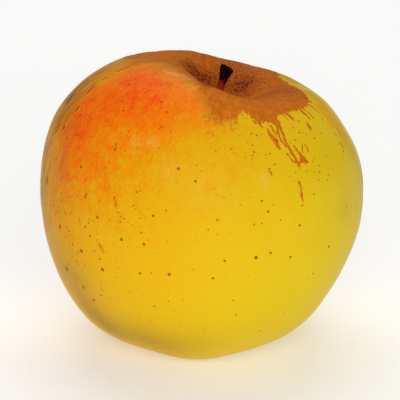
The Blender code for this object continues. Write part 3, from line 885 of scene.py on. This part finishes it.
    def inside(self, graph: Graph, place: Any, runs: list[Array]) -> Any:
        """Largest signed distance inside any run: its half width less the distance from its line.

        The half width tapers from one point of the run to the next.
        """
        reach: Any = -1.0
        for run in runs:
            for start, end in zip(run[:-1], run[1:]):
                line = end[:3] - start[:3]
                slope = (line / (line @ line)).tolist()
                away = graph.add("VectorMath", {0: place, 1: start[:3].tolist()}, operation="SUBTRACT")
                along = graph.add("VectorMath", {0: away, 1: slope}, "Value", operation="DOT_PRODUCT")
                along = graph.add("Clamp", {0: along})
                nearest = graph.add("VectorMath", {0: line.tolist(), "Scale": along}, operation="SCALE")
                width = graph.math("MULTIPLY_ADD", along, float(end[3] - start[3]), float(start[3]))
                inside = graph.math("SUBTRACT", width, graph.apart(away, nearest))
                reach = graph.math("MAXIMUM", reach, inside)
            if len(run) == 1:
                inside = graph.math("SUBTRACT", float(run[0, 3]), graph.apart(place, run[0, :3].tolist()))
                reach = graph.math("MAXIMUM", reach, inside)
        return reach

    def russet_share(self, graph: Graph, place: Any, spread: dict[str, Any], streaks: list[Array]) -> Any:
        """How far the skin has turned to russet.

        The edge's signed distance is joined with the distance inside every streak. Noise
        makes the margin ragged, in long tongues where the photograph doesn't show it. Where
        the edge is softened the step from skin to russet is several times as wide, and the
        noise that breaks it up is stronger.
        """
        fringe = graph.centred(graph.noise(spread["lines"], 0.6, 4.0, 4.0), self.fringe)
        tongues = graph.centred(graph.noise(spread["lines"], 1.6, 3.0, 12.0), self.tongue)
        fringe = graph.math("MULTIPLY_ADD", tongues, spread["hidden"], fringe)
        reach = graph.math("ADD", fringe, spread["russet"])
        reach = self.inside_runs(graph, place, streaks, reach)
        ragged = graph.centred(graph.noise(place, 0.7, 5.0), 1.0)
        swing = graph.math("MULTIPLY_ADD", spread["soft"], 4.8, 0.9)
        reach = graph.math("MULTIPLY_ADD", ragged, swing, reach)
        low = graph.math("MULTIPLY_ADD", spread["soft"], -1.6, -0.17)
        high = graph.math("MULTIPLY_ADD", spread["soft"], 5.0, 0.13)
        return graph.between(reach, low, high)

    def russeted(self, graph: Graph, place: Any, lines: Any, colour: Any, russet: Any, stain_and_shade: Any) -> Any:
        """Russet: brown cork with darker and paler grain, stained dark red in the cavity, where the red wash
        is partly painted shade.
        """
        grain = graph.math("ADD", graph.noise(lines, 1.2, 2.0, 8.0), graph.noise(place, 1.3, 4.0))
        cork = graph.tinted(self.russet, self.russet_dark, graph.between(grain, 0.75, 1.3))
        cork = graph.tinted(cork, self.russet_pale, graph.between(grain, 0.95, 0.6, 0.0, 0.25))
        stain_and_shade = graph.add("Clamp", {0: stain_and_shade})
        # red wash in the cavity: partly real stain, partly painted shade in the hollow
        cork = graph.tinted(cork, self.stain_and_shade_wash, graph.math("MULTIPLY", stain_and_shade, 0.75))
        spots = graph.between(graph.noise(place, 0.65, 3.0), 0.49, 0.59, 0.0, 0.9)
        spots = graph.math("MULTIPLY", spots, stain_and_shade)
        cork = graph.tinted(cork, self.stain_and_shade, spots)
        return graph.tinted(colour, cork, russet)


@dataclass(frozen=True)
class BarkFinish:
    """Dry plant matter: two browns in streaks along it, matt and finely ridged."""

    name: str
    light: str
    dark: str
    grain: float
    roughness: float = 0.78
    gloss: float = 0.12
    contrast: float = 0.8

    def material(self) -> bpy.types.Material:
        """Mix the two browns by fine noise and by the piece's own shade attribute."""
        graph = Graph(self.name)
        place = graph.place()
        grain = graph.noise(place, self.grain, 4.0, 4.0 * self.grain)
        share = graph.math("MULTIPLY_ADD", grain, self.contrast, graph.field("shade"))
        colour = graph.tinted(self.light, self.dark, graph.between(share, 0.3, 0.9))
        normal = graph.add("Bump", {"Height": grain, "Strength": 0.6, "Distance": 0.1 * MM})
        graph.feed(graph.shader, {"Base Color": colour, "Roughness": self.roughness, "Normal": normal,
                                  "Specular IOR Level": self.gloss})
        return graph.material


@dataclass
class Fruit:
    """The whole fruit's skin, laid over the solid's own form with fine relief."""

    low: Array
    high: Array
    viewpoint: Viewpoint
    form: FruitForm = field(default_factory=FruitForm)
    finish: SkinFinish = field(default_factory=SkinFinish)
    spokes: int = 400
    rings: int = 248
    crowding: float = 0.35
    slow: tuple[Ripple, ...] = (Ripple(0.10, 23.0, 11), Ripple(0.035, 9.0, 12))
    creases: tuple[Ripple, ...] = (Ripple(0.16, 0.8, 13), Ripple(0.07, 0.3, 14))
    crease_start: float = 6.0
    crease_arc: float = 17.0
    cork: tuple[Ripple, ...] = (Ripple(0.03, 2.2, 15), Ripple(0.08, 6.0, 16))
    cork_height: float = 0.03
    cork_edge: float = 1.5
    hidden_onset: float = 0.35
    hidden_softness: float = 0.12
    crease_stretch: float = 0.012
    depth_cost: float = 0.25
    newton_steps: int = 4

    def __post_init__(self) -> None:
        """Work out the bare grid and how far it must move to stand where the solid does."""
        row = np.linspace(0.0, 1.0, self.rings + 2)[1:-1]
        turn = np.linspace(0.0, 2.0 * np.pi, self.spokes, endpoint=False)
        front = -0.5 * np.pi
        azimuth = front + turn - self.crowding * np.sin(turn)
        self.row, self.azimuth = np.meshgrid(row, azimuth, indexing="ij")
        bare = self.form.skin(self.row, self.azimuth)
        middle = 0.5 * (bare.reshape(-1, 3).min(axis=0) + bare.reshape(-1, 3).max(axis=0))
        target = 0.5 * (self.low + self.high)
        floor = float(bare[..., 2].min()) + self.form.foot_flat
        self.widest = np.array([target[0] - middle[0], target[1] - middle[1], self.low[2] - floor])
        self.bare = bare + self.widest
        above = np.concatenate([np.broadcast_to(self.pole(0.0), (1, self.spokes, 3)), self.bare[:-1]])
        steps = np.linalg.norm(self.bare - above, axis=-1)
        self.arc = np.cumsum(steps, axis=0)
        self.normal = self.normals(self.bare)

    def pole(self, row: float) -> Array:
        """The skin's point at one end of all meridians."""
        return self.form.skin(np.array(row), np.array(0.0)) + self.widest

    def normals(self, grid: Array) -> Array:
        """Outward normals: the cross product of the steps round and down the grid."""
        down = np.gradient(grid, axis=0)
        round_ = np.roll(grid, -1, axis=1) - np.roll(grid, 1, axis=1)
        return unit(np.cross(down, round_))

    def seen_at(self, pixels: Array) -> tuple[Array, Array, Array]:
        """Find the places on the skin that the photograph shows at some pixels.

        The nearest grid point that faces the camera is refined by Newton steps on its row
        and azimuth. A small cost on depth keeps points behind the cavity's lip out.

        Args:
            pixels: Rows of pixel pairs, across and down.

        Returns:
            The points, their rows and their azimuths.
        """
        eye = self.viewpoint.eye(self.widest)
        coarse = (slice(None, None, 2), slice(None, None, 2))
        points = self.bare[coarse].reshape(-1, 3)
        away = points - eye
        facing = np.einsum("ij,ij->i", self.normal[coarse].reshape(-1, 3), away) < 0.0
        depth = np.linalg.norm(away, axis=-1)[facing]
        flat = self.viewpoint.project(points[facing], self.widest)
        gap = ((flat[None] - pixels[:, None]) ** 2).sum(axis=-1)
        gap = gap + self.depth_cost * (depth - depth.min())
        best = gap.argmin(axis=1)
        row = self.row[coarse].ravel()[facing][best]
        azimuth = self.azimuth[coarse].ravel()[facing][best]

        def shown(rows: Array, azimuths: Array) -> Array:
            """Pixels of the bare skin at some rows and azimuths."""
            return self.viewpoint.project(self.form.skin(rows, azimuths) + self.widest, self.widest)

        nudge, limit = 1e-4, np.array([0.004, 0.02])
        for _ in range(self.newton_steps):
            here = shown(row, azimuth)
            slope = np.stack([(shown(row + nudge, azimuth) - here) / nudge,
                              (shown(row, azimuth + nudge) - here) / nudge], axis=-1)
            step = np.einsum("nij,nj->ni", np.linalg.pinv(slope), pixels - here)
            row = row + np.clip(step[:, 0], -limit[0], limit[0])
            azimuth = azimuth + np.clip(step[:, 1], -limit[1], limit[1])
        return self.form.skin(row, azimuth) + self.widest, row, azimuth

    def arc_at(self, row: Array, azimuth: Array) -> Array:
        """Distance down the skin from the cavity's bottom, read off the nearest meridian."""
        turn = np.abs(wrapped(self.azimuth[0][None] - azimuth[:, None])).argmin(axis=1)
        return np.array([np.interp(at, self.row[:, 0], self.arc[:, spoke]) for at, spoke in zip(row, turn)])

    def russet(self) -> Array:
        """Signed distance inside the russet's edge, which runs all round the stalk."""
        _, row, azimuth = self.seen_at(np.array(RUSSET_SEEN))
        hidden = np.array(RUSSET_HIDDEN)
        round_ = np.concatenate([azimuth, np.radians(hidden[:, 0])])
        reach = np.concatenate([self.arc_at(row, azimuth), hidden[:, 1]])
        return np.interp(self.azimuth, round_, reach, period=2.0 * np.pi) - self.arc

    def placed(self, rows: Route) -> Array:
        """Turn rows of a pixel pair and a size into rows of a point on the skin and that size."""
        table = np.array(rows, dtype=float)
        return np.concatenate([self.seen_at(table[:, :2])[0], table[:, 2:]], axis=1)

    def blots(self, spots: tuple[Patch, ...]) -> Array:
        """Sum of the patches' bells over the straight distance to each middle."""
        middles, _, _ = self.seen_at(np.array([(spot.across, spot.down) for spot in spots], dtype=float))
        total = np.zeros(self.row.shape)
        for middle, spot in zip(middles, spots):
            total += spot.strength * bell(np.linalg.norm(self.bare - middle, axis=-1), spot.reach)
        return total

    def hidden_blot(self, blot: Blot) -> Array:
        """One bell round a place given by its azimuth and its distance from the stalk."""
        spoke = np.abs(wrapped(self.azimuth[0] - math.radians(blot.azimuth))).argmin()
        middle = self.bare[np.abs(self.arc[:, spoke] - blot.arc).argmin(), spoke]
        return blot.strength * bell(np.linalg.norm(self.bare - middle, axis=-1), blot.reach)

    def relief(self, russet: Array) -> Array:
        """Outward relief: slow unevenness, creases in the cavity, proud cork and the raised lip."""
        inside = bell(self.arc, self.crease_arc, 3.0) * smoothstep(self.arc / self.crease_start)
        spin = np.stack([np.cos(self.azimuth), np.sin(self.azimuth), self.crease_stretch * self.arc], axis=-1)
        crease = sum(wave.at(spin) for wave in self.creases)
        corky = smoothstep(russet / self.cork_edge + 0.5)
        cork = self.cork_height + sum(wave.at(self.bare) for wave in self.cork)
        slow = sum(wave.at(self.bare) for wave in self.slow)
        return slow + inside * crease + corky * cork + self.blots(RAISED)

    def build(self) -> bpy.types.Object:
        """Lay the skin with its attributes and material, standing for the solid fruit."""
        russet = self.russet()
        grid = self.bare + self.normal * self.relief(russet)[..., None]
        grid[..., 2] = np.maximum(grid[..., 2], self.low[2])
        shell = Shell.from_rings(grid)
        away = unit(self.bare - self.viewpoint.eye(self.widest))
        hidden = smoothstep(np.einsum("ijk,ijk->ij", self.normal, away) / self.hidden_onset)
        radius = self.form.widest_radius
        lines = np.stack([radius * np.cos(self.azimuth), radius * np.sin(self.azimuth), self.arc], axis=-1)
        fields = {"meridian": lines, "russet": russet, "hidden": hidden,
                  "soft": self.blots(SOFTENED) + self.hidden_softness * hidden,
                  "blush": self.blots(BLUSH) + self.hidden_blot(BLUSH_HIDDEN), "edge_bloom_sheen_and_shade": self.blots(EDGE_BLOOM_SHEEN_AND_SHADE),
                  "painted_shade": self.blots(PAINTED_SHADE_PATCHES), "stain_and_shade": self.blots(STAINS_AND_CAVITY_SHADE), "painted_glint": self.blots(PAINTED_GLINTS)}
        ended = {title: with_ends(values) for title, values in fields.items()}
        piece = shell.to_object("apple_skin", ended)
        dots = {tone: self.placed(rows) * [1.0, 1.0, 1.0, 0.5] for tone, rows in MARKS.items()}
        runs = [[self.placed(run) for run in table] for table in (STREAKS, DASHES, PAINTED_HIGHLIGHT_LINES)]
        piece.data.materials.append(self.finish.material(*runs, dots))
        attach(piece, "root")
        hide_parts("fruit")
        LOG.info("skin: %d points, %d runs", len(shell.points), sum(len(table) for table in runs))
        return piece


@dataclass
class Stalk:
    """The short woody stalk, flared and cut off at a slant.

    A rib is its height as a share of the radius, how often it comes round, and its twist.
    """

    seat: Array
    gap: float = 0.3
    lean: float = 15.5
    length: float = 13.05
    neck_radius: float = 0.95
    foot_radius: float = 1.3
    top_radius: float = 1.5
    foot_reach: float = 1.6
    flare_start: float = 9.0
    bend: float = 0.62
    sunk: float = 0.5
    ribs: tuple[tuple[float, float, float], ...] = ((0.05, 5.0, 0.12), (0.035, 11.0, -0.1))
    lumps: Ripple = Ripple(0.035, 1.1, 21)
    lump_stretch: float = 0.35
    collar: float = 0.35
    collar_start: float = 9.6
    collar_rise: float = 3.0
    collar_half_angle: float = 0.9
    cut_tilt: float = 11.5
    cut_sharpness: int = 6
    splinters: Ripple = Ripple(0.16, 1.3, 22)
    chip_depth: float = 0.7
    chip_across: float = -0.75
    chip_deep: float = -0.9
    chip_reach: float = 0.5
    pith_depth: float = 0.12
    pith_share: float = 0.6
    foot_shade: float = -0.62
    darkening: float = 0.85
    dark_start: float = 6.0
    dark_rise: float = 5.2
    # strength of the painted shade at the stalk's edges and on its right side
    painted_side_shade: float = 0.12
    dent_shade: float = -0.1
    dent_along: float = 11.0
    dent_reach: float = 0.35
    spokes: int = 96
    rings: int = 150
    cap_rings: int = 20
    finish: BarkFinish = BarkFinish("stalk_bark", "A8361C", "0C0201", 0.3, 0.85, 0.03, 1.5)

    def radius(self, along: Array) -> Array:
        """Neck's radius, plus a bell at the foot, plus a smooth step to the flared top."""
        foot = (self.foot_radius - self.neck_radius) * bell(along, self.foot_reach)
        flare = smoothstep((along - self.flare_start) / (self.length - self.flare_start))
        return self.neck_radius + foot + (self.top_radius - self.neck_radius) * flare

    def swept(self, turn: Array, share: Array, climb: Array) -> tuple[Array, Array, Array]:
        """Ridged flank and splintered top, before they lean over.

        Ribs, lumps and a collar widen the radius. At the top the slanted cut changes the
        height, with splinters, a chip out of its rim and a hollow where the pith was.

        Args:
            turn: Angle round the stalk, 0 to the right.
            share: 1 on the flank, falling to 0 in the middle of the cut.
            climb: 0 at the foot to 1 at the top.

        Returns:
            Distance along the axis, and the offsets to the right and into the picture.
        """
        along = climb * (self.length + self.sunk) - self.sunk
        ridge = sum(height * np.cos(count * turn + twist * along) for height, count, twist in self.ribs)
        ring = np.stack(np.broadcast_arrays(np.cos(turn), np.sin(turn), self.lump_stretch * along), axis=-1)
        collar = self.collar * bell(turn - np.pi, self.collar_half_angle)
        collar = collar * smoothstep((along - self.collar_start) / self.collar_rise)
        width = share * (self.radius(along) * (1.0 + ridge + self.lumps.at(ring)) + collar)
        across, deep = width * np.cos(turn), width * np.sin(turn)
        splinter = self.splinters.at(np.stack([across, deep, 0.0 * width], axis=-1))
        from_chip = np.hypot(across - self.chip_across, deep - self.chip_deep)
        chip = self.chip_depth * bell(from_chip, self.chip_reach)
        slant = math.tan(math.radians(self.cut_tilt)) * across
        pith = self.pith_depth * bell(share, self.pith_share)
        return along + climb ** self.cut_sharpness * (splinter - chip - slant - pith), across, deep

    def shade(self, turn: Array, along: Array) -> Array:
        """Darkness of the bark: rising to the top, plus painted shade at both edges and on the right, which
        leaves the left lighter.
        """
        rise = self.darkening * smoothstep((along - self.dark_start) / self.dark_rise)
        from_dent = np.hypot(along - self.dent_along, 1.3 * wrapped(turn + 0.5 * np.pi))
        dent = self.dent_shade * bell(from_dent, self.dent_reach)
        # painted shade: darker at both edges and on the right side, lighter on the left
        edge = self.painted_side_shade * (np.cos(turn) + np.cos(turn) ** 4)
        return self.foot_shade + rise + dent + edge

    def build(self) -> bpy.types.Object:
        """Lean the swept rings over along the bent axis and dress them."""
        cap = np.linspace(1.0, 0.0, self.cap_rings + 1)[1:-1]
        share = np.concatenate([np.ones(self.rings), cap])[:, None]
        climb = np.concatenate([np.linspace(0.0, 1.0, self.rings), np.ones(len(cap))])[:, None]
        turn = np.linspace(0.0, 2.0 * np.pi, self.spokes, endpoint=False)[None]
        along, across, deep = self.swept(turn, share, climb)
        tilt = math.radians(self.lean)
        axis = np.array([math.sin(tilt), 0.0, math.cos(tilt)])
        sideways = np.array([axis[2], 0.0, -axis[0]])
        sag = self.bend * np.sin(np.pi * np.clip(along / (self.length + self.top_radius), 0.0, 1.0))
        grid = self.seat + (self.gap + along)[..., None] * axis + (across - sag)[..., None] * sideways
        grid[..., 1] += deep
        shell = Shell.from_rings(grid)
        piece = shell.to_object("apple_stalk", {"shade": with_ends(self.shade(turn, along))})
        piece.data.materials.append(self.finish.material())
        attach(piece, "root")
        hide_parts("stalk")
        LOG.info("stalk: %d points, %.1f mm long", len(shell.points), self.length)
        return piece


@dataclass
class DriedCalyx:
    """The withered calyx in the basin: five curled sepals round a tuft of dry stamens."""

    low: Array
    high: Array
    sepals: int = 5
    first_azimuth: float = -93.0
    root_radius: float = 1.5
    bulge_radius: float = 3.2
    tip_radius: float = 1.9
    half_width: float = 1.5
    thickness: float = 0.32
    stamens: int = 16
    stamen_radius: float = 0.13
    stamen_length: float = 2.4
    core_radius: float = 2.0
    core_height: float = 0.6
    sepal_rows: int = 36
    stamen_rows: int = 14
    core_rows: int = 16
    sepal_seed: int = 31
    grain_seed: int = 41
    stamen_seed: int = 61
    mottle: Ripple = Ripple(0.2, 2.0, 51)
    mottle_middle: float = 0.25
    finish: BarkFinish = BarkFinish("dried_calyx_leaf", "7A5A34", "2E1C0E", 0.3, 0.88)

    @staticmethod
    def tube(spine: Array, width: Array, thick: Array, across: Array, out: Array,
             spokes: int = 14) -> Shell:
        """Sweep an oval of a width and a thickness along a spine, closed at both ends."""
        turn = np.linspace(0.0, 2.0 * np.pi, spokes, endpoint=False)
        grid = (spine[:, None] + width[:, None, None] * np.cos(turn)[None, :, None] * across[:, None]
                + thick[:, None, None] * np.sin(turn)[None, :, None] * out[:, None])
        return Shell.from_rings(grid)

    def sepal(self, number: int) -> Shell:
        """A leaf that leaves the cup, swells outwards, closes in and curls at its tip."""
        draw = np.random.default_rng(self.sepal_seed + number)
        top, drop = self.high[2] + 0.2, self.high[2] - self.low[2] - 0.1
        middle = 0.5 * (self.low + self.high)
        run = np.linspace(0.0, 1.0, self.sepal_rows)
        length = drop * draw.uniform(0.82, 1.0)
        straight = self.root_radius + (self.tip_radius - self.root_radius) * run
        radius = straight + (self.bulge_radius - self.root_radius) * np.sin(np.pi * run) + 0.5 * run ** 6
        azimuth = math.radians(self.first_azimuth + 360.0 * number / self.sepals)
        azimuth = azimuth + draw.uniform(-0.4, 0.4) * run ** 2
        side = np.stack([np.cos(azimuth), np.sin(azimuth), 0.0 * run], axis=-1)
        spine = np.array([middle[0], middle[1], top]) + radius[:, None] * side
        spine[:, 2] -= length * run ** 1.15
        along = unit(np.gradient(spine, axis=0))
        across = unit(np.stack([-side[:, 1], side[:, 0], 0.35 * np.sin(5.0 * run + number)], axis=-1))
        width = self.half_width * (1.0 - run ** 2.2) * (0.8 + 0.2 * np.sin(np.pi * run)) + 0.08
        grain = Ripple(0.3, 1.4, self.grain_seed + number)
        thick = self.thickness * (1.0 - 0.6 * run) * (1.0 + grain.at(spine))
        return self.tube(spine, width, 0.5 * thick, across, unit(np.cross(along, across)))

    def stamen(self, number: int) -> Shell:
        """A thin filament that leans out of the middle of the cup, with a swollen end."""
        draw = np.random.default_rng(self.stamen_seed + number)
        azimuth = 2.0 * np.pi * (number + draw.uniform(-0.3, 0.3)) / self.stamens
        middle = 0.5 * (self.low + self.high)
        run = np.linspace(0.0, 1.0, self.stamen_rows)
        radius = draw.uniform(0.3, 1.1) + draw.uniform(0.1, 0.9) * run ** 1.6
        spine = np.stack([middle[0] + radius * np.cos(azimuth + 0.4 * run),
                          middle[1] + radius * np.sin(azimuth + 0.4 * run),
                          self.high[2] - draw.uniform(0.7, 1.0) * self.stamen_length * run], axis=-1)
        width = self.stamen_radius * (0.7 + 0.9 * bell(run - 0.92, 0.08))
        along = unit(np.gradient(spine, axis=0))
        across = unit(np.cross(along, np.array([0.0, 1.0, 0.2])))
        return self.tube(spine, width, width, across, unit(np.cross(along, across)), 8)

    def core(self) -> Shell:
        """The low dome that the stamens grow from, which fills the cup's floor."""
        middle = 0.5 * (self.low + self.high)
        polar = np.linspace(0.0, np.pi, self.core_rows + 2)[1:-1]
        spine = np.tile([middle[0], middle[1], self.high[2] + 0.1], (len(polar), 1))
        spine[:, 2] += self.core_height * np.cos(polar)
        width = self.core_radius * np.sin(polar)
        across = np.tile([1.0, 0.0, 0.0], (len(polar), 1))
        out = np.tile([0.0, 1.0, 0.0], (len(polar), 1))
        return self.tube(spine, width, width, across, out, 32)

    def build(self) -> bpy.types.Object:
        """Join the sepals, stamens and core into one withered piece."""
        parts = [self.sepal(number) for number in range(self.sepals)]
        parts += [self.stamen(number) for number in range(self.stamens)]
        shell = Shell.joined(parts + [self.core()])
        shade = self.mottle_middle + self.mottle.at(shell.points)
        piece = shell.to_object("apple_calyx", {"shade": shade})
        piece.data.materials.append(self.finish.material())
        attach(piece, "root")
        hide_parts("dried_calyx")
        LOG.info("calyx: %d sepals, %d stamens", self.sepals, self.stamens)
        return piece


@dataclass(frozen=True)
class SoftBox:
    """A large soft lamp: where it stands seen from the apple, its side and its power."""

    azimuth: float
    elevation: float
    distance: float
    side: float
    watts: float


@dataclass
class Studio:
    """Pale floor, soft lamps and the camera of the photograph."""

    viewpoint: Viewpoint
    floor_colour: str = "EDEDEC"
    floor_radius: float = 3.0
    floor_glow: float = 0.3
    sky: float = 0.3
    lamps: tuple[SoftBox, ...] = (
        SoftBox(-86.0, 22.0, 1.3, 0.9, 8.7),
        SoftBox(95.0, 62.0, 1.5, 1.3, 10.0),
    )

    def build(self, widest: Array) -> None:
        """Set the stage round the apple and the plain view of its colours."""
        bpy.ops.mesh.primitive_circle_add(vertices=128, radius=self.floor_radius, fill_type="NGON")
        floor = bpy.context.object
        floor.name = "pale_floor"
        graph = Graph("pale_floor")
        white = (1.0, 1.0, 1.0, 1.0)
        graph.feed(graph.shader, {"Base Color": linear_colour(self.floor_colour), "Roughness": 0.9,
                                  "Emission Color": white, "Emission Strength": self.floor_glow})
        floor.data.materials.append(graph.material)
        for number, lamp in enumerate(self.lamps):
            self.hang(number, lamp, widest * MM)
        world = bpy.data.worlds.new("white_studio")
        world.use_nodes = True
        background = world.node_tree.nodes["Background"]
        background.inputs["Color"].default_value = white
        background.inputs["Strength"].default_value = self.sky
        bpy.context.scene.world = world
        bpy.context.scene.view_settings.view_transform = "Standard"
        self.viewpoint.place(widest)

    def hang(self, number: int, lamp: SoftBox, target: Array) -> None:
        """Hang one lamp facing the apple: its rotation turns -Z to the target."""
        light = bpy.data.lights.new(f"soft_box_{number}", "AREA")
        light.size, light.energy = lamp.side, lamp.watts
        stand = bpy.data.objects.new(light.name, light)
        azimuth, elevation = math.radians(lamp.azimuth), math.radians(lamp.elevation)
        away = np.array([math.cos(azimuth) * math.cos(elevation),
                         math.sin(azimuth) * math.cos(elevation), math.sin(elevation)])
        stand.location = target + lamp.distance * away
        stand.rotation_euler = (0.5 * math.pi - elevation, 0.0, azimuth + 0.5 * math.pi)
        bpy.context.scene.collection.objects.link(stand)


def corners(node: str) -> tuple[Array, Array]:
    """Lowest and highest corner of a solid, in millimetres."""
    low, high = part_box(node)
    return np.array(low) / MM, np.array(high) / MM


def main() -> None:
    """Load the solids and lay the looks over them."""
    logging.basicConfig(level=logging.INFO, format="%(name)s %(message)s")
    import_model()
    viewpoint = Viewpoint()
    fruit = Fruit(*corners("fruit"), viewpoint)
    fruit.build()
    Stalk(fruit.pole(0.0)).build()
    DriedCalyx(*corners("dried_calyx")).build()
    Studio(viewpoint).build(fruit.widest)


if __name__ == "__main__":
    main()
